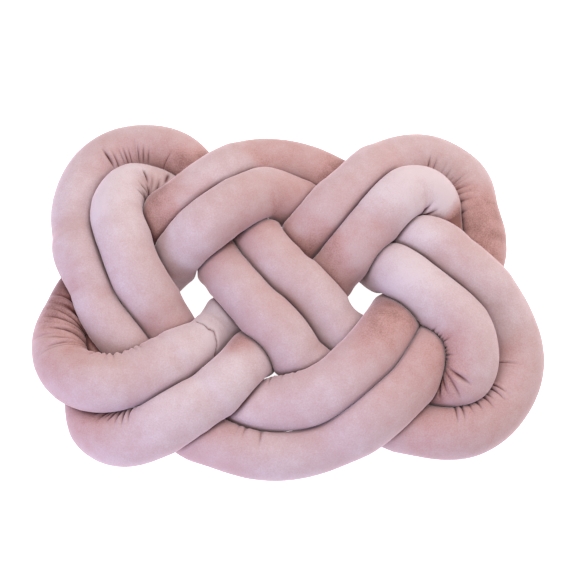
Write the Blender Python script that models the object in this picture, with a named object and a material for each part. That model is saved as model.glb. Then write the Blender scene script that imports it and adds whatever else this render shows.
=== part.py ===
"""Knot cushion: one stuffed velvet tube run twice round a flat seven-crossing knot and sewn end to end.

The tube's centre line comes from ROUTE, a row for each place it passes, with both laps side by side.
The strands are then let down on to the floor and each other, and each section of the tube is drawn
round its centre as far as its own girth, its neighbours and the floor allow.
"""
import bmesh
import bpy
import numpy as np

MM = 0.001

# Driving sizes, in millimetres unless a name says otherwise
TUBE_RADIUS = 31.0          # stuffed velvet tube where nothing presses on it
SIDE_BY_SIDE = 48.0         # centre to centre where two strands lie along each other
CROSSING = 43.0             # centre to centre where one strand crosses another
SAG_ON_FLOOR = 0.87         # lowest centre height, as a share of the tube's radius
STRAND_GAP = 2.2            # air left between two strands that press together
TOP_SHARE = 2.0             # how far below halfway the upper of two strands presses the lower
BEND_SHARE = 0.9            # how much of a tight bend's own radius the cloth inside it fills
FLAT_ROLL = 1.2             # depth over which a section rolls on to its flat underside
PRESS_SHARPNESS = 9.0       # higher gives a sharper edge round a pressed place
MAX_BULGE = 1.10            # a pressed section swells by this share at most

RINGS = 352                 # sections along the whole tube
SIDES = 14                  # points round a section
BEND_CROWDING = 0.9         # how much closer together the sections stand on a bend
LAY_STEP = 10.0             # spacing of the points that are let down
LAY_ROUNDS = 300
PAIRING_ROUNDS = 20         # rounds between looks for which points are neighbours
EASE_ROUNDS = 8             # rounds that even out the heights at the end
SAME_PLACE = 18.0           # places closer along the tube than this never press
SAME_BEND = 80.0            # places closer along the tube than this are one bend, not neighbours
REACH = 80.0                # strands further apart than this never press

# Starting heights of the centre line, before the strands are let down
FLOOR, LOW, MID, TOP, HIGH = 27.0, 36.0, 48.0, 68.0, 84.0

# Places along one lap, in order.  A, B and T are the three loops along the back, R the right loop,
# L the left one, C the diagonal through the middle and D the arch along the front.
# place, then for each lap: x, y, height, girth (as a share of the full tube)
ROUTE = [
    ("join", -100, -48, MID, 0.74, -53, -85, TOP, 0.92),
    ("over A inner", -124, -72, TOP, 1.01, -79, -112, TOP, 0.96),
    ("over A outer", -160, -96, TOP, 1.04, -122, -139, TOP, 1.02),
    ("corner low", -210, -108, HIGH, 1.05, -183, -162, MID, 1.09),
    ("corner left", -252, -89, TOP, 1.00, -218, -146, LOW, 1.03),
    ("left side", -266, -45, MID, 1.00, -225, -95, FLOOR, 1.00),
    ("left top", -255, -10, LOW, 1.00, -215, -40, FLOOR, 1.00),
    ("under A outer", -235, 30, FLOOR, 1.00, -205, -10, FLOOR, 1.00),
    ("under A inner", -195, 75, FLOOR, 1.00, -175, 25, FLOOR, 1.00),
    ("B rise", -157, 95, MID, 1.00, -141, 63, LOW, 1.00),
    ("B over A inner", -124, 115, TOP, 1.00, -107, 78, HIGH, 1.00),
    ("B over A outer", -95, 140, TOP, 1.00, -72, 107, HIGH, 1.00),
    ("B crown", -45, 179, MID, 1.00, -35, 131, TOP, 1.00),
    ("B fall", 10, 183, LOW, 1.00, 5, 130, MID, 1.00),
    ("under T outer", 70, 155, FLOOR, 1.00, 45, 111, FLOOR, 1.00),
    ("under T inner", 115, 118, FLOOR, 1.00, 80, 85, FLOOR, 1.00),
    ("R rise", 145, 89, FLOOR, 1.00, 120, 55, FLOOR, 1.00),
    ("R over T inner", 180, 60, TOP, 0.98, 144, 19, TOP, 1.04),
    ("R over T outer", 211, 31, TOP, 0.97, 183, -18, TOP, 1.05),
    ("R right", 250, -6, MID, 1.00, 204, -49, TOP, 1.04),
    ("R far right", 269, -60, FLOOR, 1.02, 207, -81, TOP, 1.04),
    ("R low right", 250, -114, FLOOR, 1.03, 194, -100, MID, 1.00),
    ("R low", 200, -149, LOW, 1.05, 175, -96, LOW, 1.00),
    ("under D outer", 130, -140, FLOOR, 1.00, 140, -75, FLOOR, 1.00),
    ("under D inner", 70, -100, FLOOR, 1.00, 100, -55, FLOOR, 1.00),
    ("C rise", 14, -70, MID, 1.00, 57, -30, MID, 0.95),
    ("C over L outer", -10, -43, TOP, 1.02, 26, 6, TOP, 0.97),
    ("C over L inner", -51, 5, TOP, 0.94, -8, 37, TOP, 0.95),
    ("C fall", -80, 50, MID, 0.97, -34, 80, MID, 0.97),
    ("under B inner", -110, 95, FLOOR, 1.00, -75, 135, FLOOR, 1.00),
    ("under B outer", -140, 130, FLOOR, 1.00, -110, 170, FLOOR, 1.00),
    ("A top right", -160, 145, LOW, 1.00, -140, 203, FLOOR, 1.00),
    ("A crown", -190, 146, MID, 1.00, -194, 211, FLOOR, 1.00),
    ("A shoulder", -201, 118, TOP, 1.02, -237, 181, LOW, 1.00),
    ("A left", -199, 90, TOP, 1.03, -255, 115, MID, 1.00),
    ("A over L inner", -188, 50, HIGH, 1.03, -239, 50, MID, 1.00),
    ("A over L outer", -173, 15, TOP, 1.03, -222, 0, MID, 0.87),
    ("A fall", -149, -18, MID, 1.04, -198, -45, MID, 0.87),
    ("under L inner", -120, -55, FLOOR, 1.00, -165, -80, FLOOR, 1.00),
    ("under L outer", -80, -95, FLOOR, 1.00, -125, -135, FLOOR, 1.00),
    ("D low left", -42, -123, LOW, 1.14, -75, -165, LOW, 0.97),
    ("D low", 0, -124, MID, 1.15, -20, -177, LOW, 0.99),
    ("D over R outer", 54, -110, TOP, 1.08, 42, -165, LOW, 1.04),
    ("D over R inner", 97, -71, TOP, 1.11, 98, -138, TOP, 1.00),
    ("D fall", 134, -14, LOW, 1.04, 146, -90, MID, 1.00),
    ("under R inner", 155, 35, FLOOR, 1.00, 185, -5, FLOOR, 1.00),
    ("under R outer", 185, 80, FLOOR, 1.00, 217, 50, FLOOR, 1.00),
    ("T right", 179, 113, LOW, 1.00, 222, 105, FLOOR, 1.00),
    ("T shoulder", 170, 130, TOP, 1.00, 222, 161, FLOOR, 1.00),
    ("T crown", 150, 135, TOP, 1.00, 170, 194, LOW, 1.00),
    ("T left", 120, 110, HIGH, 1.00, 120, 178, MID, 1.00),
    ("T over B outer", 96, 89, TOP, 1.00, 75, 130, TOP, 1.00),
    ("T over B inner", 75, 60, TOP, 1.00, 42, 99, TOP, 1.00),
    ("T fall", 50, 35, MID, 0.95, 16, 79, MID, 0.95),
    ("under C right", 30, 15, FLOOR, 0.95, -10, 50, FLOOR, 0.95),
    ("under C left", -10, -30, FLOOR, 0.95, -50, 10, FLOOR, 0.85),
    ("end", -41, -64, MID, 0.96, -70, -10, LOW, 0.88),
]
COLLECTION = "Knot cushion"
VELVET_COLOUR = (0.56, 0.33, 0.32)     # dusty pink


def route_rows():
    """The ROUTE table as one closed list of x, y, height and girth: all of lap one, then all of lap two."""
    first = [row[1:5] for row in ROUTE]
    second = [row[5:9] for row in ROUTE]
    return np.array(first + second, float)


def smooth_loop(rows, pieces=16):
    """A closed centripetal Catmull-Rom curve through rows whose first two columns are x and y."""
    count = len(rows)
    points = []
    for i in range(count):
        a, b, c, d = rows[i - 1], rows[i], rows[(i + 1) % count], rows[(i + 2) % count]
        knots = np.cumsum([0.0] + [np.linalg.norm((q - p)[:2]) ** 0.5 for p, q in ((a, b), (b, c), (c, d))])
        t0, t1, t2, t3 = knots
        t = np.linspace(t1, t2, pieces, endpoint=False)[:, None]
        ab = (t1 - t) / (t1 - t0) * a + (t - t0) / (t1 - t0) * b
        bc = (t2 - t) / (t2 - t1) * b + (t - t1) / (t2 - t1) * c
        cd = (t3 - t) / (t3 - t2) * c + (t - t2) / (t3 - t2) * d
        ac = (t2 - t) / (t2 - t0) * ab + (t - t0) / (t2 - t0) * bc
        bd = (t3 - t) / (t3 - t1) * bc + (t - t1) / (t3 - t1) * cd
        points.append((t2 - t) / (t2 - t1) * ac + (t - t1) / (t2 - t1) * bd)
    return np.concatenate(points)


def walk(loop, weight=None):
    """Distance along a closed loop at each of its points and at its end, stretched by weight if given."""
    lengths = np.linalg.norm(np.roll(loop[:, :3], -1, 0) - loop[:, :3], axis=1)
    if weight is not None:
        lengths = lengths * (weight + np.roll(weight, -1)) / 2
    return np.concatenate([[0.0], np.cumsum(lengths)])


def respace(loop, count, weight=None):
    """The same closed loop with count points, evenly spaced or closer together where weight is high.

    A last column is added, each new point's distance along the loop.
    """
    stretched = walk(loop, weight)
    wanted = np.arange(count) * stretched[-1] / count
    columns = [*np.vstack([loop, loop[:1]]).T, walk(loop)]
    return np.stack([np.interp(wanted, stretched, column) for column in columns], -1)


def directions(loop):
    """Unit tangents of a closed loop."""
    tangents = np.roll(loop[:, :3], -1, 0) - np.roll(loop[:, :3], 1, 0)
    return tangents / np.linalg.norm(tangents, axis=1)[:, None]


def pressing_pairs(strand, girth):
    """Pairs of points on neighbouring strands, and how far apart the tube's thickness keeps them."""
    count = len(strand)
    step = walk(strand)[-1] / count
    apart = np.linalg.norm(strand[:, None] - strand[None], axis=2)
    first, second = np.nonzero(np.triu(apart < REACH, 1))
    along = np.minimum(second - first, count - second + first) * step
    keep = along > SAME_BEND
    first, second = first[keep], second[keep]
    tangents = directions(strand)
    alike = np.sum(tangents[first] * tangents[second], axis=1) ** 2
    distance = CROSSING + (SIDE_BY_SIDE - CROSSING) * alike
    return first, second, distance * (girth[first] + girth[second]) / 2


def lay_down(loop):
    """Let the strands down on to the floor and each other, held near the heights they start at."""
    drop, stiffness = 0.05, 0.12
    hold = np.array((0.10, 0.10, 0.05))
    girth = loop[:, 3]
    route = loop[:, :3]
    strand = route.copy()
    for round_number in range(LAY_ROUNDS):
        if round_number % PAIRING_ROUNDS == 0:
            first, second, distance = pressing_pairs(strand, girth)
        strand[:, 2] -= drop
        bend = np.roll(strand, 1, 0) + np.roll(strand, -1, 0) - 2 * strand
        strand -= stiffness * (np.roll(bend, 1, 0) + np.roll(bend, -1, 0) - 2 * bend)
        strand += hold * (route - strand)
        for _ in range(2):
            between = strand[first] - strand[second]
            length = np.linalg.norm(between, axis=1)
            short = np.maximum(distance - length, 0.0)
            shift = between * (0.5 * short / length)[:, None]
            moves = np.zeros_like(strand)
            touches = np.zeros(len(strand))
            np.add.at(moves, first, shift)
            np.add.at(moves, second, -shift)
            np.add.at(touches, first, short > 0)
            np.add.at(touches, second, short > 0)
            strand += moves / np.maximum(touches, 1)[:, None]
        strand[:, 2] = np.maximum(strand[:, 2], SAG_ON_FLOOR * TUBE_RADIUS * girth)
    for _ in range(EASE_ROUNDS):
        height = strand[:, 2]
        strand[:, 2] = (np.roll(height, 1) + 2 * height + np.roll(height, -1)) / 4
    return np.column_stack([strand, girth])


def centre_line():
    """The tube's settled centre line, as closely spaced x, y, height and girth."""
    loop = smooth_loop(route_rows())
    loop = respace(loop, round(walk(loop)[-1] / LAY_STEP))
    return smooth_loop(lay_down(loop), pieces=4)


def bend_of(loop):
    """Curvature at each point of a closed loop, one over the bend's radius."""
    tangents = directions(loop)
    lengths = np.diff(walk(loop))
    turning = np.linalg.norm(np.roll(tangents, -1, 0) - np.roll(tangents, 1, 0), axis=1)
    return turning / (lengths + np.roll(lengths, 1))


def clock_directions(tangents, sides):
    """Unit directions round each section: across the strand, then up, evenly spaced round the clock."""
    across = np.cross(tangents, (0.0, 0.0, 1.0))
    across /= np.linalg.norm(across, axis=1)[:, None]
    upward = np.cross(across, tangents)
    angle = (np.arange(sides) + 0.5) * 2 * np.pi / sides - np.pi / 2
    return np.cos(angle)[:, None] * across[:, None] + np.sin(angle)[:, None] * upward[:, None]


def room_round(centre, radius, place, rays, line, along, total):
    """How far the tube can reach from one centre along each ray before it meets a neighbour or itself.

    The limit is the surface halfway between this centre and each point of the line, moved towards the
    thinner of the two and down by TOP_SHARE, so that a strand on top stays rounder than the one under it.
    """
    offset = line[:, :3] - centre
    square = np.sum(offset ** 2, axis=1)
    shared = square + radius ** 2 - (TUBE_RADIUS * line[:, 3]) ** 2 - 2 * TOP_SHARE * offset[:, 2]
    apart = np.abs(along - place)
    apart = np.minimum(apart, total - apart)
    near = square < REACH ** 2
    room = np.full(len(rays), np.inf)
    neighbour = near & (apart > SAME_BEND)
    same_bend = near & (apart > SAME_PLACE) & (apart <= SAME_BEND)
    for chosen, gap, share in ((neighbour, STRAND_GAP, 1.0), (same_bend, 0.0, BEND_SHARE)):
        facing = rays @ offset[chosen].T + gap
        limit = share * (shared[chosen] - gap ** 2) / (2 * np.maximum(facing, 1e-6))
        room = np.minimum(room, np.where(facing > 0, limit, np.inf).min(axis=1, initial=np.inf))
    return room


def press(free, room):
    """A reach that follows free where there is room and eases down to room where there is not."""
    return (free ** -PRESS_SHARPNESS + room ** -PRESS_SHARPNESS) ** (-1 / PRESS_SHARPNESS)


def girth_round(reach):
    """Length round a section whose points lie at these reaches, evenly spaced in angle."""
    step = 2 * np.pi / len(reach)
    following = np.roll(reach, -1)
    return np.sqrt(reach ** 2 + following ** 2 - 2 * reach * following * np.cos(step)).sum()


def section(centre, place, rays, free, line, along, total):
    """Points round one section, pressed in by its neighbours and let out so that its girth is kept."""
    room = room_round(centre, free, place, rays, line, along, total)
    wanted = girth_round(np.full(len(rays), free))
    bulge = 1.0
    for _ in range(6):
        reach = press(np.full(len(rays), free * bulge), room)
        bulge = min(bulge * wanted / girth_round(reach), MAX_BULGE)
    return centre + rays * reach[:, None]


def rest_on_floor(points):
    """Roll everything below the floor on to it, so that the underside is flat where it touches."""
    height = points[..., 2]
    rolled = (height + FLAT_ROLL) ** 2 / (4 * FLAT_ROLL)
    points[..., 2] = np.where(height > FLAT_ROLL, height, np.where(height < -FLAT_ROLL, 0.0, rolled))
    return points


def tube_points():
    """All sections of the tube, as rings of points in millimetres."""
    line = centre_line()
    along = walk(line)
    total = along[-1]
    closeness = 1.0 + BEND_CROWDING * TUBE_RADIUS * bend_of(line)
    rings = respace(line, RINGS, closeness)
    rays = clock_directions(directions(rings), SIDES)
    sections = [section(ring[:3], ring[4], rays[i], TUBE_RADIUS * ring[3], line, along[:-1], total)
                for i, ring in enumerate(rings)]
    return rest_on_floor(np.array(sections))


def tube_mesh(name, rings):
    """A closed mesh through rings of points, joined end to end."""
    count, sides = rings.shape[:2]
    points = rings.reshape(-1, 3)
    low, high = points.min(axis=0), points.max(axis=0)
    points = points - ((low[0] + high[0]) / 2, (low[1] + high[1]) / 2, low[2])
    faces = []
    for i in range(count):
        for j in range(sides):
            ahead, round_on = (i + 1) % count, (j + 1) % sides
            faces.append((i * sides + j, i * sides + round_on, ahead * sides + round_on, ahead * sides + j))
    mesh = bpy.data.meshes.new(name)
    mesh.from_pydata((points * MM).tolist(), [], faces)
    work = bmesh.new()
    work.from_mesh(mesh)
    bmesh.ops.recalc_face_normals(work, faces=work.faces)
    bmesh.ops.triangulate(work, faces=work.faces, quad_method="SHORT_EDGE")
    work.to_mesh(mesh)
    work.free()
    mesh.shade_smooth()
    return mesh


def velvet():
    """Dusty pink velvet: matt, with a soft sheen along its edges."""
    material = bpy.data.materials.new("Dusty pink velvet")
    material.use_nodes = True
    shader = material.node_tree.nodes["Principled BSDF"]
    shader.inputs["Base Color"].default_value = (*VELVET_COLOUR, 1.0)
    shader.inputs["Roughness"].default_value = 0.85
    shader.inputs["Metallic"].default_value = 0.0
    shader.inputs["Sheen Weight"].default_value = 0.5
    return material


def build():
    for old in list(bpy.data.objects):
        bpy.data.objects.remove(old, do_unlink=True)
    collection = bpy.data.collections.new(COLLECTION)
    bpy.context.scene.collection.children.link(collection)
    mesh = tube_mesh("stuffed_tube", tube_points())
    mesh.materials.append(velvet())
    collection.objects.link(bpy.data.objects.new("stuffed_tube", mesh))


build()
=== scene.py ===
"""Looks of the knot cushion: one stuffed tube of dusty-pink velvet, knotted flat and sewn end to end."""
import math
import random

import bmesh
import bpy
import numpy as np
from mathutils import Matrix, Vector, noise


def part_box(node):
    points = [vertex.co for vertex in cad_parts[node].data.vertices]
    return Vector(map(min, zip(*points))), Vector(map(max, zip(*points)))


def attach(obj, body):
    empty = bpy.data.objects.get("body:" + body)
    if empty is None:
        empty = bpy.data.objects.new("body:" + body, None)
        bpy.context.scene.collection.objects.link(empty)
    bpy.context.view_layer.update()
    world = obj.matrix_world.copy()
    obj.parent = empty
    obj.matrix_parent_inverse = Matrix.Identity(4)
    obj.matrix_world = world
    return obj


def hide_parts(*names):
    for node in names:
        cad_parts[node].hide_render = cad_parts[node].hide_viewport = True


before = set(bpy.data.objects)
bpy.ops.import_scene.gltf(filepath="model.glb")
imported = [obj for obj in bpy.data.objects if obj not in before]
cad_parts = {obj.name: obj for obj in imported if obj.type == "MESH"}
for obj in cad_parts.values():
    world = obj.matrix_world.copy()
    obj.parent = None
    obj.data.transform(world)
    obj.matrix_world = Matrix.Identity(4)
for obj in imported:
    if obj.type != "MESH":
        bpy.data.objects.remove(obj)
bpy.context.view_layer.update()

MM = 0.001

# ---------------------------------------------------------------- the tube's own sizes, in millimetres
TUBE_RADIUS = 31.0          # stuffed tube where nothing presses on it
SIDE_BY_SIDE = 48.0         # centre to centre where two strands lie along each other
CROSSING = 43.0             # centre to centre where one strand crosses another
SAG_ON_FLOOR = 0.87         # lowest centre height, as a share of the tube's radius
STRAND_GAP = 0.3            # air left between two strands that press together
TOP_SHARE = 2.0             # how far below halfway the upper of two strands presses the lower
BEND_SHARE = 0.92           # how much of a tight bend's own radius the cloth inside it fills
FLAT_ROLL = 1.2             # depth over which a section rolls on to its flat underside
PRESS_SHARPNESS = 12.0      # higher gives a sharper edge round a pressed place
MAX_BULGE = 1.10            # a pressed section swells by this share at most

RINGS = 2360                # sections along the whole tube
SIDES = 42                  # points round a section
BEND_CROWDING = 1.8         # how much closer together the sections stand on a bend
GATHER_CROWDING = 2.0       # and how much closer where there are gathers
LAY_STEP = 10.0             # spacing of the points that are let down
LAY_ROUNDS = 300
PAIRING_ROUNDS = 20         # rounds between looks for which points are neighbours
EASE_ROUNDS = 8             # rounds that even out the heights at the end
SAME_PLACE = 18.0           # places closer along the tube than this never press
SAME_BEND = 80.0            # places closer along the tube than this are one bend, not neighbours
REACH = 80.0                # strands further apart than this never press

# Starting heights of the centre line, before the strands are let down
FLOOR, LOW, MID, TOP, HIGH = 27.0, 36.0, 48.0, 68.0, 84.0

# Places along one lap, in order.  A, B and T are the three loops along the back, R the right loop,
# L the left one, C the diagonal through the middle and D the arch along the front.
# place, then for each lap: x, y, height, girth (as a share of the full tube) and nap, from -2 for deepest
# through -1 for rose to 1 for pale: the way the pile is brushed there, with painted shade where the strand
# runs down under others and painted light where it crests over them
ROUTE = [
    ("join", -100, -48, MID, 0.74, 0.8, -53, -85, TOP, 0.92, 0),
    ("over A inner", -124, -72, TOP, 1.01, 0.2, -79, -112, TOP, 0.96, 0.4),
    ("over A outer", -160, -96, TOP, 1.04, 0, -122, -139, TOP, 1.02, 0.1),
    ("corner low", -210, -108, HIGH, 1.05, -0.3, -183, -162, MID, 1.09, -0.2),
    ("corner left", -252, -89, TOP, 1.00, -0.6, -218, -146, LOW, 1.03, -0.9),
    ("left side", -266, -45, MID, 1.00, -1.1, -225, -95, FLOOR, 1.00, -0.4),
    ("left top", -255, -10, LOW, 1.00, -2, -215, -40, FLOOR, 1.00, -2),
    ("under A outer", -235, 30, FLOOR, 1.00, -1.8, -205, -10, FLOOR, 1.00, -0.2),
    ("under A inner", -195, 75, FLOOR, 1.00, -2, -175, 25, FLOOR, 1.00, -0.4),
    ("B rise", -157, 95, MID, 1.00, -2, -141, 63, LOW, 1.00, 0.4),
    ("B over A inner", -124, 115, TOP, 1.00, -1.3, -107, 78, HIGH, 1.00, -0.2),
    ("B over A outer", -95, 140, TOP, 1.00, 0.1, -72, 107, HIGH, 1.00, -0.5),
    ("B crown", -45, 179, MID, 1.00, -0.8, -35, 131, TOP, 1.00, -0.5),
    ("B fall", 10, 183, LOW, 1.00, -0.6, 5, 130, MID, 1.00, -0.9),
    ("under T outer", 70, 155, FLOOR, 1.00, -1.8, 45, 111, FLOOR, 1.00, -0.7),
    ("under T inner", 115, 118, FLOOR, 1.00, -0.3, 80, 85, FLOOR, 1.00, 0),
    ("R rise", 145, 89, FLOOR, 1.00, 0.9, 120, 55, FLOOR, 1.00, 0),
    ("R over T inner", 180, 60, TOP, 0.98, -0.3, 144, 19, TOP, 1.04, 0.7),
    ("R over T outer", 211, 31, TOP, 0.97, -0.1, 183, -18, TOP, 1.05, 0.4),
    ("R right", 250, -6, MID, 1.00, 0.2, 204, -49, TOP, 1.04, -0.1),
    ("R far right", 269, -60, FLOOR, 1.02, -0.4, 207, -81, TOP, 1.04, -0.9),
    ("R low right", 250, -114, FLOOR, 1.03, -0.5, 194, -100, MID, 1.00, -1.4),
    ("R low", 200, -149, LOW, 1.05, -0.8, 175, -96, LOW, 1.00, -1.3),
    ("under D outer", 130, -140, FLOOR, 1.00, -0.5, 140, -75, FLOOR, 1.00, -1.5),
    ("under D inner", 70, -100, FLOOR, 1.00, -0.2, 100, -55, FLOOR, 1.00, -0.2),
    ("C rise", 14, -70, MID, 1.00, 0.1, 57, -30, MID, 0.95, 0.3),
    ("C over L outer", -10, -43, TOP, 1.02, -0.2, 26, 6, TOP, 0.97, -0.2),
    ("C over L inner", -51, 5, TOP, 0.94, -0.2, -8, 37, TOP, 0.95, -0.4),
    ("C fall", -80, 50, MID, 0.97, -0.7, -34, 80, MID, 0.97, -0.8),
    ("under B inner", -110, 95, FLOOR, 1.00, -0.8, -75, 135, FLOOR, 1.00, -0.7),
    ("under B outer", -140, 130, FLOOR, 1.00, -0.7, -110, 170, FLOOR, 1.00, -1.6),
    ("A top right", -160, 145, LOW, 1.00, 0, -140, 203, FLOOR, 1.00, -0.6),
    ("A crown", -190, 146, MID, 1.00, 0.4, -194, 211, FLOOR, 1.00, -0.2),
    ("A shoulder", -201, 118, TOP, 1.02, 0.8, -237, 181, LOW, 1.00, -0.2),
    ("A left", -199, 90, TOP, 1.03, 0.4, -255, 115, MID, 1.00, 0.2),
    ("A over L inner", -188, 50, HIGH, 1.03, 0.2, -239, 50, MID, 1.00, -0.2),
    ("A over L outer", -173, 15, TOP, 1.03, -0.1, -222, 0, MID, 0.87, -0.2),
    ("A fall", -149, -18, MID, 1.04, -0.5, -198, -45, MID, 0.87, -0.3),
    ("under L inner", -120, -55, FLOOR, 1.00, -0.5, -165, -80, FLOOR, 1.00, -0.5),
    ("under L outer", -80, -95, FLOOR, 1.00, 0, -125, -135, FLOOR, 1.00, -0.4),
    ("D low left", -42, -123, LOW, 1.14, 0.3, -75, -165, LOW, 0.97, -0.4),
    ("D low", 0, -124, MID, 1.15, 0.1, -20, -177, LOW, 0.99, 0.1),
    ("D over R outer", 54, -110, TOP, 1.08, -0.3, 42, -165, LOW, 1.04, -0.1),
    ("D over R inner", 97, -71, TOP, 1.11, -0.8, 98, -138, TOP, 1.00, -0.3),
    ("D fall", 134, -14, LOW, 1.04, -2, 146, -90, MID, 1.00, -1),
    ("under R inner", 155, 35, FLOOR, 1.00, -0.6, 185, -5, FLOOR, 1.00, -1.2),
    ("under R outer", 185, 80, FLOOR, 1.00, -0.2, 217, 50, FLOOR, 1.00, -1.4),
    ("T right", 179, 113, LOW, 1.00, -2, 222, 105, FLOOR, 1.00, -1.2),
    ("T shoulder", 170, 130, TOP, 1.00, 0.8, 222, 161, FLOOR, 1.00, 0),
    ("T crown", 150, 135, TOP, 1.00, 1, 170, 194, LOW, 1.00, 0),
    ("T left", 120, 110, HIGH, 1.00, 0.5, 120, 178, MID, 1.00, 0.2),
    ("T over B outer", 96, 89, TOP, 1.00, 0, 75, 130, TOP, 1.00, -0.5),
    ("T over B inner", 75, 60, TOP, 1.00, -0.5, 42, 99, TOP, 1.00, -0.6),
    ("T fall", 50, 35, MID, 0.95, -1.2, 16, 79, MID, 0.95, -1.4),
    ("under C right", 30, 15, FLOOR, 0.95, -0.7, -10, 50, FLOOR, 0.95, -0.7),
    ("under C left", -10, -30, FLOOR, 0.95, -0.5, -50, 10, FLOOR, 0.85, 0),
    ("end", -41, -64, MID, 0.96, -1.4, -70, -10, LOW, 0.88, 1),
]

# Gathers sewn in by the bends, where the velvet is bunched on the inside of a loop.
# place and lap they are counted from, first and last one's distance along the tube, how many,
# clock angle they lie at (0 right of travel, 90 on top, 180 left), half their spread in degrees,
# depth and half-width in millimetres, and how far each leans along the tube per quarter turn
GATHERS = [
    ("left side", 1, -40, 34, 11, 54, 100, 4.6, 2.8, 9),
    ("over A outer", 1, -6, 70, 8, 14, 36, 2.2, 3.0, 0),
    ("over A outer", 1, 30, 52, 2, 60, 36, 0.7, 4.0, 4),
    ("A crown", 1, -44, -30, 2, 62, 32, 3.4, 2.6, 0),
    ("A crown", 1, -25, -8, 3, 92, 34, 3.2, 2.4, -3),
    ("A crown", 1, -2, 30, 5, 148, 28, 2.8, 2.2, 0),
    ("A crown", 2, 32, 46, 2, 120, 30, 3.4, 2.4, 8),
    ("A crown", 2, -26, 22, 7, 130, 36, 2.4, 1.6, 0),
    ("A crown", 2, -90, -60, 2, 124, 46, 1.8, 1.8, 0),
    ("T crown", 2, -8, 6, 2, 134, 36, 2.8, 2.2, 2),
    ("T crown", 2, -104, -22, 9, 124, 46, 1.7, 2.4, 0),
    ("T shoulder", 1, -4, 8, 2, 150, 40, 2.8, 2.2, 6),
    ("R low right", 2, -16, 20, 6, 84, 50, 3.4, 1.8, 8),
    ("R far right", 2, -60, 16, 13, 20, 30, 2.2, 1.8, 0),
    ("R low right", 1, -40, -38, 1, 62, 40, 2.2, 2.0, 0),
    ("R low right", 1, -2, 70, 8, 54, 46, 2.4, 1.6, 5),
    ("corner left", 2, -62, 22, 10, 42, 50, 3.2, 2.0, 9),
    ("D low left", 2, 12, 44, 3, 118, 38, 1.6, 2.8, 0),
    ("D low", 1, -30, 18, 4, 150, 30, 1.8, 1.8, 0),
]

SEAM_BOW = 8.0              # how far the join's seam bows forward on top of the tube
SEAM_DEPTH = 2.8            # depth of its groove
SEAM_WIDTH = 1.5            # and half its width
WRINKLE_DEPTH = 1.1         # deepest of the fine wrinkles inside the bends
STITCHES = 22               # hand stitches round the join
STITCH_REACH = 1.6          # how far each of them goes to either side of the seam
STITCH_ARCH = 0.35          # how high it arches over the groove
THREAD_RADIUS = 0.36

# Soft unevenness, as size, how much and where in the noise it is read, a row for each
STUFFING_LUMPS = ((60.0, 0.8, 3.0), (24.0, 0.3, 8.0))       # heights on the cloth, in millimetres
NAP_PATCHES = ((45.0, 34.0, 5.0), (15.0, 8.0, 2.0))         # shifts of the nap along the tube

# ---------------------------------------------------------------- colours, as the pile shows them
# the deep and rose tones also carry painted shade where a strand runs under others, the pale one painted
# light where it crests
DEEP_SHADE, ROSE, PINK, PALE = "#87605b", "#bb9593", "#c5aeb2", "#d4c8cf"
NAP_AND_SHADING_SHARE = 0.30            # how far the nap, with its painted shade and light, moves the velvet's colour towards deep or pale
BEND_TONE = 0.9              # how much darker the velvet's colour is made on the inside of a bend, and paler on its outside
CREVICE_SHADE_COLOUR = "#5a2a29"           # painted shade: a deep wine-brown the velvet is darkened towards in folds and between strands
CREVICE_SHADE_SHARE = 0.92         # how much of that shows in the deepest of them
CREVICE_SHADE_FROM, CREVICE_SHADE_FULL = 0.6, 5.5     # pressed or folded in this far, the painted shade begins and is full
FOLD_SHADE_WEIGHT = 1.8           # how much more a fold deepens the painted shade than a pressed place does
TONE_BASE = 0.06            # tone of velvet with none of its three patterns
CLOUDS, STROKES, PILE = (85.0, 0.38), (14.0, 0.30), (1.5, 0.54)     # size, and share of the tone
SHEEN = "#f3dfe6"           # the pale tips that catch the light where the surface turns away
THREAD = "#b98c90"
FLOOR_WHITE = "#f6f6f7"

AIM_HEIGHT = 45.0           # the camera looks at this height over the middle of the floor


# ---------------------------------------------------------------- the centre line
def route_rows():
    """The ROUTE table as one closed list of x, y, height, girth and nap with its painted shading: lap one,
    then lap two.
    """
    return np.array([row[1:6] for row in ROUTE] + [row[6:11] for row in ROUTE], float)


def smooth_loop(rows, pieces=16):
    """A closed centripetal Catmull-Rom curve through rows whose first two columns are x and y."""
    count = len(rows)
    points = []
    for i in range(count):
        a, b, c, d = rows[i - 1], rows[i], rows[(i + 1) % count], rows[(i + 2) % count]
        knots = np.cumsum([0.0] + [np.linalg.norm((q - p)[:2]) ** 0.5 for p, q in ((a, b), (b, c), (c, d))])
        t0, t1, t2, t3 = knots
        t = np.linspace(t1, t2, pieces, endpoint=False)[:, None]
        ab = (t1 - t) / (t1 - t0) * a + (t - t0) / (t1 - t0) * b
        bc = (t2 - t) / (t2 - t1) * b + (t - t1) / (t2 - t1) * c
        cd = (t3 - t) / (t3 - t2) * c + (t - t2) / (t3 - t2) * d
        ac = (t2 - t) / (t2 - t0) * ab + (t - t0) / (t2 - t0) * bc
        bd = (t3 - t) / (t3 - t1) * bc + (t - t1) / (t3 - t1) * cd
        points.append((t2 - t) / (t2 - t1) * ac + (t - t1) / (t2 - t1) * bd)
    return np.concatenate(points)


def walk(loop, weight=None):
    """Distance along a closed loop at each of its points and at its end, stretched by weight if given."""
    lengths = np.linalg.norm(np.roll(loop[:, :3], -1, 0) - loop[:, :3], axis=1)
    if weight is not None:
        lengths = lengths * (weight + np.roll(weight, -1)) / 2
    return np.concatenate([[0.0], np.cumsum(lengths)])


def respace(loop, count, weight=None):
    """The same closed loop with count points, evenly spaced or closer together where weight is high.

    A last column is added, each new point's distance along the loop.
    """
    stretched = walk(loop, weight)
    wanted = np.arange(count) * stretched[-1] / count
    columns = [*np.vstack([loop, loop[:1]]).T, walk(loop)]
    return np.stack([np.interp(wanted, stretched, column) for column in columns], -1)


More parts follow.
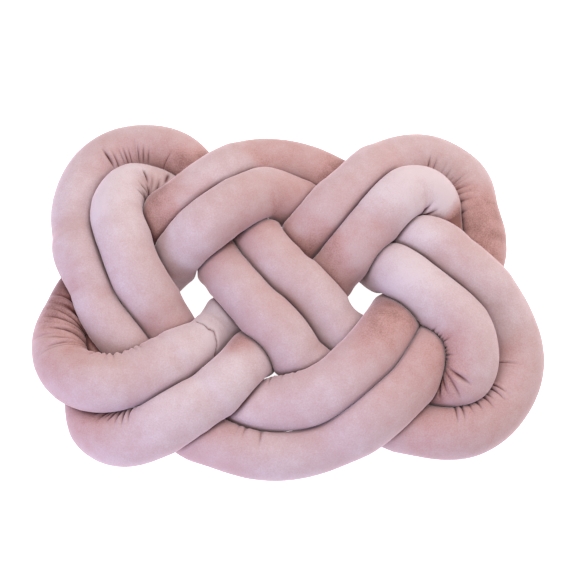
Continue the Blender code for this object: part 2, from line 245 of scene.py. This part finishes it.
def directions(loop):
    """Unit tangents of a closed loop."""
    tangents = np.roll(loop[:, :3], -1, 0) - np.roll(loop[:, :3], 1, 0)
    return tangents / np.linalg.norm(tangents, axis=1)[:, None]


def pressing_pairs(strand, girth):
    """Pairs of points on neighbouring strands, and how far apart the tube's thickness keeps them."""
    count = len(strand)
    step = walk(strand)[-1] / count
    apart = np.linalg.norm(strand[:, None] - strand[None], axis=2)
    first, second = np.nonzero(np.triu(apart < REACH, 1))
    along = np.minimum(second - first, count - second + first) * step
    keep = along > SAME_BEND
    first, second = first[keep], second[keep]
    tangents = directions(strand)
    alike = np.sum(tangents[first] * tangents[second], axis=1) ** 2
    distance = CROSSING + (SIDE_BY_SIDE - CROSSING) * alike
    return first, second, distance * (girth[first] + girth[second]) / 2


def lay_down(loop):
    """Let the strands down on to the floor and each other, held near the heights they start at."""
    drop, stiffness = 0.05, 0.12
    hold = np.array((0.10, 0.10, 0.05))
    girth = loop[:, 3]
    route = loop[:, :3]
    strand = route.copy()
    for round_number in range(LAY_ROUNDS):
        if round_number % PAIRING_ROUNDS == 0:
            first, second, distance = pressing_pairs(strand, girth)
        strand[:, 2] -= drop
        bend = np.roll(strand, 1, 0) + np.roll(strand, -1, 0) - 2 * strand
        strand -= stiffness * (np.roll(bend, 1, 0) + np.roll(bend, -1, 0) - 2 * bend)
        strand += hold * (route - strand)
        for _ in range(2):
            between = strand[first] - strand[second]
            length = np.linalg.norm(between, axis=1)
            short = np.maximum(distance - length, 0.0)
            shift = between * (0.5 * short / length)[:, None]
            moves = np.zeros_like(strand)
            touches = np.zeros(len(strand))
            np.add.at(moves, first, shift)
            np.add.at(moves, second, -shift)
            np.add.at(touches, first, short > 0)
            np.add.at(touches, second, short > 0)
            strand += moves / np.maximum(touches, 1)[:, None]
        strand[:, 2] = np.maximum(strand[:, 2], SAG_ON_FLOOR * TUBE_RADIUS * girth)
    for _ in range(EASE_ROUNDS):
        height = strand[:, 2]
        strand[:, 2] = (np.roll(height, 1) + 2 * height + np.roll(height, -1)) / 4
    return np.column_stack([strand, loop[:, 3:-1]])


def centre_line():
    """The tube's settled centre line, as closely spaced x, y, height, girth and nap with its painted
    shading.
    """
    loop = smooth_loop(route_rows())
    loop = respace(loop, round(walk(loop)[-1] / LAY_STEP))
    return smooth_loop(lay_down(loop), pieces=4)


def bend_vectors(loop):
    """At each point of a closed loop, the vector towards its bend's centre, one over the radius long."""
    tangents = directions(loop)
    lengths = np.diff(walk(loop))
    turning = np.roll(tangents, -1, 0) - np.roll(tangents, 1, 0)
    return turning / (lengths + np.roll(lengths, 1))[:, None]


# ---------------------------------------------------------------- the sections
def clock_angles():
    """Angles round a section: 0 is the right of travel, 90 degrees the top, evenly spaced."""
    return (np.arange(SIDES) + 0.5) * 2 * np.pi / SIDES - np.pi / 2


def clock_directions(tangents):
    """Unit directions round each section, one for each clock angle."""
    across = np.cross(tangents, (0.0, 0.0, 1.0))
    across /= np.linalg.norm(across, axis=1)[:, None]
    upward = np.cross(across, tangents)
    angle = clock_angles()[:, None]
    return np.cos(angle) * across[:, None] + np.sin(angle) * upward[:, None]


def room_round(centre, radius, place, rays, line, along, total):
    """How far the tube can reach from one centre along each ray before it meets a neighbour or itself.

    The limit is the surface halfway between this centre and each point of the line, moved towards the
    thinner of the two and down by TOP_SHARE, so that a strand on top stays rounder than the one under it.
    """
    offset = line[:, :3] - centre
    square = np.sum(offset ** 2, axis=1)
    shared = square + radius ** 2 - (TUBE_RADIUS * line[:, 3]) ** 2 - 2 * TOP_SHARE * offset[:, 2]
    apart = np.abs(along - place)
    apart = np.minimum(apart, total - apart)
    near = square < REACH ** 2
    room = np.full(len(rays), np.inf)
    neighbour = near & (apart > SAME_BEND)
    same_bend = near & (apart > SAME_PLACE) & (apart <= SAME_BEND)
    for chosen, gap, share in ((neighbour, STRAND_GAP, 1.0), (same_bend, 0.0, BEND_SHARE)):
        facing = rays @ offset[chosen].T + gap
        limit = share * (shared[chosen] - gap ** 2) / (2 * np.maximum(facing, 1e-6))
        room = np.minimum(room, np.where(facing > 0, limit, np.inf).min(axis=1, initial=np.inf))
    return room


def press(free, room):
    """A reach that follows free where there is room and eases down to room where there is not."""
    return (free ** -PRESS_SHARPNESS + room ** -PRESS_SHARPNESS) ** (-1 / PRESS_SHARPNESS)


def girth_round(reach):
    """Length round a section whose points lie at these reaches, evenly spaced in angle."""
    step = 2 * np.pi / len(reach)
    following = np.roll(reach, -1)
    return np.sqrt(reach ** 2 + following ** 2 - 2 * reach * following * np.cos(step)).sum()


def pressed_reach(centre, place, rays, free, line, along, total):
    """Reaches of one section, pressed in by its neighbours and let out so that its girth is kept.

    With them comes how far each one is pressed in.
    """
    room = room_round(centre, free.mean(), place, rays, line, along, total)
    wanted = girth_round(free)
    bulge = 1.0
    for _ in range(6):
        reach = press(free * bulge, room)
        bulge = min(bulge * wanted / girth_round(reach), MAX_BULGE)
    return reach, np.maximum(free * bulge - reach, 0.0)


def rest_on_floor(points):
    """Roll everything below the floor on to it, so that the underside is flat where it touches."""
    height = points[..., 2]
    rolled = (height + FLAT_ROLL) ** 2 / (4 * FLAT_ROLL)
    points[..., 2] = np.where(height > FLAT_ROLL, height, np.where(height < -FLAT_ROLL, 0.0, rolled))
    return points


# ---------------------------------------------------------------- folds, gathers and the join
def smooth_step(value, low, high):
    """0 below low, 1 above high, and an easy S between."""
    t = np.clip((value - low) / (high - low), 0.0, 1.0)
    return t * t * (3 - 2 * t)


def turn_between(angle, other):
    """Signed smallest turn from other to angle, in radians."""
    return (angle - other + np.pi) % (2 * np.pi) - np.pi


def along_between(place, other, total):
    """Signed shortest distance along the tube from other to place."""
    return (place - other + total / 2) % total - total / 2


def lumps(points, size, amount, seed):
    """Soft unevenness, lumps of this size that change each point's value by up to about the amount."""
    shift = Vector((seed, seed * 0.7, seed * 1.3))
    flat = points.reshape(-1, 3) / size
    values = [noise.noise(Vector(point) + shift) for point in flat.tolist()]
    return amount * np.array(values).reshape(points.shape[:2])


def crease(depths, place, angle, at, clock, spread, depth, width, lean, total):
    """Sink one crease into depths: a soft V across the tube that fades towards both its ends."""
    shift = along_between(place, at, total)
    rows = np.abs(shift) < 4 * width + abs(lean) * 2
    turn = turn_between(angle, clock)[None, :]
    off = shift[rows][:, None] - lean * turn / (np.pi / 2)
    fade = np.clip(1 - (turn / spread) ** 2, 0, None) ** 1.5
    ridge = 0.35 * np.exp(-((np.abs(off) - 2.2 * width) / width) ** 2)
    valley = 0.6 * np.exp(-(off / width) ** 2) + 0.4 * np.exp(-(off / (0.4 * width)) ** 2)
    depths[rows] += depth * fade * (valley - ridge)


def gathers(place, angle, marks, total):
    """Depth of all the gathers named in GATHERS, for each point of the tube."""
    draw = random.Random(7)
    depths = np.zeros((len(place), len(angle)))
    for name, lap, start, end, count, clock, spread, depth, width, lean in GATHERS:
        pitch = (end - start) / max(count - 1, 1)
        for number in range(count):
            at = marks[name, lap] + start + pitch * (number + draw.uniform(-0.28, 0.28))
            crease(depths, place, angle, at % total,
                   math.radians(clock + draw.uniform(-8, 8)),
                   math.radians(spread * draw.uniform(0.7, 1.2)),
                   depth * draw.uniform(0.55, 1.15), width * draw.uniform(0.8, 1.25),
                   lean * draw.uniform(0.5, 1.5), total)
    return depths


def near_gathers(along, marks, total):
    """1 where the tube has gathers or its join, 0 elsewhere, with a soft step between."""
    spans = [(marks[row[0], row[1]] + row[2], marks[row[0], row[1]] + row[3]) for row in GATHERS]
    spans.append((marks["join", 1] - 8, marks["join", 1] + 22))
    near = np.zeros(len(along))
    for start, end in spans:
        outside = np.abs(along_between(along, (start + end) / 2, total)) - (end - start) / 2
        near = np.maximum(near, 1 - smooth_step(outside, 2, 12))
    return near


def inner_share(rays, bends):
    """How much the cloth is squeezed at each point: 1 inside a bend of the tube's own radius, -1 outside."""
    return TUBE_RADIUS * np.einsum("ijk,ik->ij", rays, bends)


def bend_wrinkles(place, rays, bends, total):
    """Fine wrinkles wherever the cloth inside a bend is squeezed, on every side of the cushion."""
    squeeze = inner_share(rays, bends)
    draw = random.Random(11)
    pattern = np.zeros(len(place))
    at = 0.0
    while at < total:
        off = along_between(place, at, total)
        pattern += draw.uniform(0.3, 1.0) * np.exp(-(off / draw.uniform(1.5, 2.3)) ** 2)
        at += draw.uniform(5.5, 9.5)
    return WRINKLE_DEPTH * smooth_step(squeeze, 0.45, 1.2) * pattern[:, None]


def seam_offset(angle):
    """How far round the join its seam lies from the tube's end: it bows forward on top, in small waves."""
    waves = 1.4 * np.sin(5 * angle + 0.6) + 0.8 * np.sin(11 * angle + 2.1)
    return SEAM_BOW * (1 - np.sin(angle)) + waves


def past_seam(place, angle, marks, total):
    """How far each point of the tube lies beyond the join's seam."""
    return along_between(place, marks["join", 1], total)[:, None] - seam_offset(angle)[None, :]


def seam_groove(place, angle, marks, total):
    """Depth of the groove that the join's stitches pull in."""
    return SEAM_DEPTH * np.exp(-(past_seam(place, angle, marks, total) / SEAM_WIDTH) ** 2)


def join_shape(place, angle, marks, total):
    """Change of reach round the join: the lip of the overlapping end and the puckers drawn into it."""
    past = past_seam(place, angle, marks, total)
    lip = np.where(past > 0, 1.0 * np.exp(-past / 12), -0.5 * np.exp(past / 5))
    puckers = np.clip(np.sin(13 * angle + 0.5 * np.sin(3 * angle)), 0, None)[None, :] ** 2
    drawn = -0.9 * puckers * np.where(past > 0, np.exp(-past / 7), np.exp(past / 5))
    return lip + drawn


# ---------------------------------------------------------------- the velvet tube
def tube_rings():
    """Every section of the tube as points, with each one's place, the clock angles and the tones."""
    line = centre_line()
    along = walk(line)
    total = along[-1]
    bends = bend_vectors(line)
    marks = place_marks(line, along)
    closeness = 1.0 + BEND_CROWDING * TUBE_RADIUS * np.linalg.norm(bends, axis=1)
    closeness += GATHER_CROWDING * near_gathers(along[:-1], marks, total)
    rings = respace(np.column_stack([line, bends]), RINGS, closeness)
    centre, girth, nap_and_shading_along = rings[:, :3], TUBE_RADIUS * rings[:, 3], rings[:, 4]
    bend, place = rings[:, 5:8], rings[:, 8]
    rays = clock_directions(directions(rings))
    angle = clock_angles()

    round_points = centre[:, None] + rays * girth[:, None, None]
    free = girth[:, None]
    for row in STUFFING_LUMPS:
        free = free + lumps(round_points, *row)
    free += join_shape(place, angle, marks, total)
    reach, pressed = np.array([pressed_reach(centre[i], place[i], rays[i], free[i], line, along[:-1], total)
                               for i in range(RINGS)]).transpose(1, 0, 2)
    folds = gathers(place, angle, marks, total) + bend_wrinkles(place, rays, bend, total)
    folds += seam_groove(place, angle, marks, total)
    points = rest_on_floor(centre[:, None] + rays * (reach - folds)[..., None])
    # painted shade: darker where the tube is pressed in by a neighbour or sunk in a fold or the seam
    crevice_shade = smooth_step(pressed + FOLD_SHADE_WEIGHT * folds, CREVICE_SHADE_FROM, CREVICE_SHADE_FULL)
    patchy = place[:, None]
    for row in NAP_PATCHES:
        patchy = patchy + lumps(round_points, *row)
    # the nap along the tube, with painted shade where it runs under other strands and painted light where it
    # crests
    nap_and_shading = np.interp(patchy.ravel(), place, nap_and_shading_along, period=total).reshape(patchy.shape)
    # darker on the inside of each bend and paler on its outside
    nap_and_shading -= BEND_TONE * np.clip(inner_share(rays, bend), -1.0, 1.0)
    return points, place, angle, {"nap_and_shading": nap_and_shading, "crevice_shade": crevice_shade}, marks, total


def place_marks(line, along):
    """Distance along the tube of each named place, for each lap."""
    rows = route_rows()
    marks = {}
    for lap in (1, 2):
        for number, row in enumerate(ROUTE):
            target = rows[number + (lap - 1) * len(ROUTE)]
            misses = np.sum((line[:, :2] - target[:2]) ** 2, axis=1) + 0.3 * (line[:, 2] - target[2]) ** 2
            marks[row[0], lap] = along[np.argmin(misses)]
    return marks


def centring(points):
    """The shift that puts the cushion in the middle of the frame, standing on its floor."""
    low, high = points.reshape(-1, 3).min(axis=0), points.reshape(-1, 3).max(axis=0)
    low_cad, high_cad = (np.array(corner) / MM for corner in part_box("stuffed_tube"))
    shift = (low_cad + high_cad - low - high) / 2
    shift[2] = low_cad[2] - low[2]
    return shift


def velvet_tube(points, place, angle, tones):
    """The whole tube as one closed mesh, with its tones and a UV map that runs along it and round it."""
    count, sides = points.shape[:2]
    i, j = np.meshgrid(np.arange(count), np.arange(sides), indexing="ij")
    ahead, onward = (i + 1) % count, (j + 1) % sides
    faces = np.stack([i * sides + j, i * sides + onward, ahead * sides + onward, ahead * sides + j], -1)
    faces = faces.reshape(-1, 4)
    mesh = bpy.data.meshes.new("velvet_tube")
    mesh.from_pydata((points.reshape(-1, 3) * MM).tolist(), [], faces.tolist())
    along = np.append(place, 2 * place[-1] - place[-2])
    turn = np.append(angle, angle[0] + 2 * np.pi)
    u = np.stack([along[i], along[i], along[i + 1], along[i + 1]], -1)
    v = np.stack([turn[j], turn[j + 1], turn[j + 1], turn[j]], -1) * TUBE_RADIUS
    uv = np.stack([u, v], -1) * MM
    layer = mesh.uv_layers.new(name="along_and_round")
    layer.data.foreach_set("uv", uv.ravel().astype(np.float32))
    for name, values in tones.items():
        attribute = mesh.attributes.new(name, "FLOAT", "POINT")
        attribute.data.foreach_set("value", values.ravel().astype(np.float32))
    mesh.validate()
    tube = add_object("velvet_tube", mesh)
    make_faces_point_out(mesh)
    mesh.shade_smooth()
    return tube


def add_object(name, mesh):
    """Put a mesh into the scene as an object at the origin."""
    piece = bpy.data.objects.new(name, mesh)
    bpy.context.scene.collection.objects.link(piece)
    return piece


def make_faces_point_out(mesh):
    """Turn every face of a closed mesh outwards."""
    work = bmesh.new()
    work.from_mesh(mesh)
    bmesh.ops.recalc_face_normals(work, faces=work.faces)
    work.to_mesh(mesh)
    work.free()


def stitch(bm, start, end, lift, radius):
    """One hand stitch: a short arched thread from start to end, with round ends sunk in the pile."""
    steps, sides = 5, 6
    run = end - start
    side = run.cross(lift).normalized()
    rings = []
    for k in range(steps + 1):
        t = k / steps
        centre = start + run * t + lift * math.sin(math.pi * t)
        swell = radius * (0.55 + 0.45 * math.sin(math.pi * t))
        up = lift.normalized()
        rings.append([bm.verts.new(centre + swell * (math.cos(a) * side + math.sin(a) * up))
                      for a in (2 * math.pi * n / sides for n in range(sides))])
    for ring, following in zip(rings, rings[1:]):
        for n in range(sides):
            bm.faces.new((ring[n], following[n], following[n - 1], ring[n - 1]))
    bm.faces.new(rings[0])
    bm.faces.new(rings[-1][::-1])


def join_stitches(points, place, angle, marks, total):
    """The slip stitches that close the join, each crossing the seam's groove on a slant."""
    draw = random.Random(5)
    bm = bmesh.new()
    for number in range(STITCHES):
        clock = -np.pi / 2 + 2 * np.pi * (number + draw.uniform(0.3, 0.7)) / STITCHES
        j = int(np.argmin(np.abs(turn_between(angle, clock))))
        seam = marks["join", 1] + seam_offset(angle)[j]
        ends = []
        for along, turn_on in ((-STITCH_REACH, 0), (STITCH_REACH, 1)):
            i = int(np.argmin(np.abs(along_between(place, (seam + along) % total, total))))
            ends.append(Vector(points[i, (j + turn_on) % len(angle)] * MM))
        i = int(np.argmin(np.abs(along_between(place, seam % total, total))))
        centre = Vector(points[i].mean(axis=0) * MM)
        out = ((ends[0] + ends[1]) / 2 - centre).normalized()
        stitch(bm, ends[0], ends[1], out * STITCH_ARCH * MM, THREAD_RADIUS * MM)
    mesh = bpy.data.meshes.new("join_stitches")
    bm.to_mesh(mesh)
    bm.free()
    make_faces_point_out(mesh)
    mesh.shade_smooth()
    return add_object("join_stitches", mesh)


# ---------------------------------------------------------------- materials
def linear(hex_colour):
    """An sRGB hex colour as linear red, green, blue and alpha."""
    values = [int(hex_colour[k:k + 2], 16) / 255 for k in (1, 3, 5)]
    return (*[v / 12.92 if v <= 0.04045 else ((v + 0.055) / 1.055) ** 2.4 for v in values], 1.0)


def node(tree, kind, inputs=(), **settings):
    """Add a node with its settings; inputs pairs an input's name or number with a value or an output."""
    made = tree.nodes.new(kind)
    for name, value in settings.items():
        setattr(made, name, value)
    for name, value in dict(inputs).items():
        if isinstance(value, bpy.types.NodeSocket):
            tree.links.new(value, made.inputs[name])
        else:
            made.inputs[name].default_value = value
    return made


def ramp(tree, factor, *stops):
    """A colour ramp through (position, hex colour) stops."""
    made = node(tree, "ShaderNodeValToRGB", {"Fac": factor})
    band = made.color_ramp
    while len(band.elements) < len(stops):
        band.elements.new(1.0)
    for element, (position, colour) in zip(band.elements, stops):
        element.position = position
        element.color = linear(colour)
    return made.outputs["Color"]


def short_pile_velvet():
    """Woven polyester velvet with a short brushed pile.

    The pile lies one way in some patches and another way in others, which gives soft pale and rosy
    clouds a few centimetres across, with small brush strokes in them.  Along the tube the colour also
    carries painted shade, deeper where a strand runs under others, and painted light, paler where it
    crests; folds, the seam and the places where strands press together are darkened with painted shade.
    Where the surface turns away the sides of the pile catch the light in a pale rim.  The fine grain is
    the tips of the pile, drawn at 1.5 mm where the real ones are about 0.3 mm.
    """
    material = bpy.data.materials.new("Short-pile polyester velvet")
    material.use_nodes = True
    tree = material.node_tree
    shader = tree.nodes["Principled BSDF"]
    spot = node(tree, "ShaderNodeTexCoord").outputs["Object"]
    clouds = node(tree, "ShaderNodeTexNoise",
                  {"Vector": spot, "Scale": 1 / (CLOUDS[0] * MM), "Detail": 2.0, "Distortion": 0.3})
    strokes = node(tree, "ShaderNodeTexNoise",
                   {"Vector": spot, "Scale": 1 / (STROKES[0] * MM), "Detail": 3.0})
    pile = node(tree, "ShaderNodeTexNoise",
                {"Vector": spot, "Scale": 1 / (PILE[0] * MM), "Detail": 2.0, "Roughness": 0.6})
    # the nap together with its painted shade and painted light, read from the tube
    nap_and_shading = node(tree, "ShaderNodeAttribute", attribute_name="nap_and_shading").outputs["Fac"]
    tone = node(tree, "ShaderNodeMath", {0: nap_and_shading, 1: NAP_AND_SHADING_SHARE, 2: TONE_BASE}, operation="MULTIPLY_ADD")
    for pattern, share in ((clouds, CLOUDS[1]), (strokes, STROKES[1]), (pile, PILE[1])):
        tone = node(tree, "ShaderNodeMath", {0: pattern.outputs["Fac"], 1: share, 2: tone.outputs[0]},
                    operation="MULTIPLY_ADD")
    middle = TONE_BASE + (CLOUDS[1] + STROKES[1] + PILE[1]) / 2
    colour = ramp(tree, tone.outputs[0], (middle - 2 * NAP_AND_SHADING_SHARE, DEEP_SHADE), (middle - NAP_AND_SHADING_SHARE, ROSE),
                  (middle, PINK), (middle + NAP_AND_SHADING_SHARE, PALE))
    # painted shade: the colour darkened towards a deep wine-brown in folds, the seam and between pressed
    # strands
    crevice_shade = node(tree, "ShaderNodeAttribute", attribute_name="crevice_shade").outputs["Fac"]
    share = node(tree, "ShaderNodeMath", {0: crevice_shade, 1: CREVICE_SHADE_SHARE}, operation="MULTIPLY")
    shaded = node(tree, "ShaderNodeMix", {"Factor": share.outputs[0], 6: colour, 7: linear(CREVICE_SHADE_COLOUR)},
                  data_type="RGBA")
    tree.links.new(shaded.outputs[2], shader.inputs["Base Color"])
    height = node(tree, "ShaderNodeMath",
                  {0: strokes.outputs["Fac"], 1: 1.5, 2: pile.outputs["Fac"]}, operation="MULTIPLY_ADD")
    bump = node(tree, "ShaderNodeBump",
                {"Height": height.outputs[0], "Strength": 0.6, "Distance": 0.5 * MM})
    tree.links.new(bump.outputs["Normal"], shader.inputs["Normal"])
    shader.inputs["Roughness"].default_value = 0.85
    shader.inputs["Specular IOR Level"].default_value = 0.2
    shader.inputs["Sheen Weight"].default_value = 1.0
    shader.inputs["Sheen Roughness"].default_value = 0.38
    shader.inputs["Sheen Tint"].default_value = linear(SHEEN)
    return material


def spun_polyester_thread():
    """Hand-sewing thread of spun polyester: fine, matt, a shade deeper than the velvet it closes."""
    material = bpy.data.materials.new("Spun polyester thread")
    material.use_nodes = True
    tree = material.node_tree
    shader = tree.nodes["Principled BSDF"]
    spot = node(tree, "ShaderNodeTexCoord").outputs["Object"]
    twist = node(tree, "ShaderNodeTexWave", {"Vector": spot, "Scale": 1 / (2.4 * MM), "Distortion": 1.0},
                 bands_direction="DIAGONAL")
    bump = node(tree, "ShaderNodeBump",
                {"Height": twist.outputs["Fac"], "Strength": 0.3, "Distance": 0.1 * MM})
    tree.links.new(bump.outputs["Normal"], shader.inputs["Normal"])
    shader.inputs["Base Color"].default_value = linear(THREAD)
    shader.inputs["Roughness"].default_value = 0.7
    return material


def lit_acrylic():
    """White acrylic sheet lit from below, as a light table: matt, even and without shadows.

    It is seen as plain white from everywhere, and throws less light than that up into the cushion.
    """
    material = bpy.data.materials.new("Lit white acrylic sheet")
    material.use_nodes = True
    tree = material.node_tree
    shader = tree.nodes["Principled BSDF"]
    seen = node(tree, "ShaderNodeLightPath").outputs["Is Camera Ray"]
    glow = node(tree, "ShaderNodeMath", {0: seen, 1: 0.7, 2: 0.3}, operation="MULTIPLY_ADD")
    tree.links.new(glow.outputs[0], shader.inputs["Emission Strength"])
    shader.inputs["Base Color"].default_value = linear(FLOOR_WHITE)
    shader.inputs["Roughness"].default_value = 0.95
    shader.inputs["Specular IOR Level"].default_value = 0.1
    shader.inputs["Emission Color"].default_value = linear(FLOOR_WHITE)
    return material


# ---------------------------------------------------------------- studio
def studio_floor():
    """A plain lit sheet, 8 m wide and half a millimetre under the cushion."""
    bpy.ops.object.select_all(action="DESELECT")
    bpy.ops.mesh.primitive_plane_add(size=8.0, location=(0, 0, -0.0005))
    floor = bpy.context.object
    floor.name = "studio_floor"
    floor.data.materials.append(lit_acrylic())


def camera(aim):
    """Looks down on the cushion's face from in front, 70 degrees above the floor and 1.5 m away."""
    elevation, distance, view_width, sensor = math.radians(70), 1.5, 0.680, 36.0
    upward_shift = 1 / 36       # share of the view's width, so that the cushion stands a little low in it
    data = bpy.data.cameras.new("camera")
    data.sensor_width = sensor
    data.lens = sensor * distance / view_width
    data.shift_y = upward_shift
    made = bpy.data.objects.new("camera", data)
    away = Vector((0, -math.cos(elevation), math.sin(elevation)))
    made.location = aim + distance * away
    made.rotation_euler = away.to_track_quat("Z", "Y").to_euler()
    bpy.context.scene.collection.objects.link(made)
    bpy.context.scene.camera = made


def soft_light(name, place, size, power, colour):
    """A square softbox that faces the cushion."""
    data = bpy.data.lights.new(name, "AREA")
    data.size = size
    data.energy = power
    data.color = linear(colour)[:3]
    made = bpy.data.objects.new(name, data)
    made.location = place
    made.rotation_euler = Vector(place).to_track_quat("Z", "Y").to_euler()
    bpy.context.scene.collection.objects.link(made)


def lights():
    """A large soft light over the cushion, three weaker ones round it and a faint even world."""
    soft_light("softbox_above", (0.0, 0.1, 2.2), 2.2, 36, "#fff6f0")
    soft_light("softbox_left", (-1.4, -1.3, 0.7), 1.4, 24, "#d0ccfb")
    soft_light("softbox_right", (1.6, 0.6, 1.0), 1.4, 12, "#ffe6da")
    soft_light("softbox_back", (0.1, 1.9, 0.8), 1.4, 9, "#fff0de")
    world = bpy.data.worlds.new("studio_world")
    world.use_nodes = True
    world.node_tree.nodes["Background"].inputs["Color"].default_value = linear("#f4f2f6")
    world.node_tree.nodes["Background"].inputs["Strength"].default_value = 0.35
    bpy.context.scene.world = world
    bpy.context.scene.view_settings.view_transform = "Standard"


def build():
    """The velvet tube and its stitches, in the frame, and the studio round them."""
    points, place, angle, tones, marks, total = tube_rings()
    shift = centring(points)
    points = points + shift
    tube = velvet_tube(points, place, angle, tones)
    tube.data.materials.append(short_pile_velvet())
    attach(tube, "root")
    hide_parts("stuffed_tube")

    stitches = join_stitches(points, place, angle, marks, total)
    stitches.data.materials.append(spun_polyester_thread())
    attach(stitches, "root")

    studio_floor()
    camera(Vector((shift[0], shift[1], shift[2] + AIM_HEIGHT)) * MM)
    lights()


build()
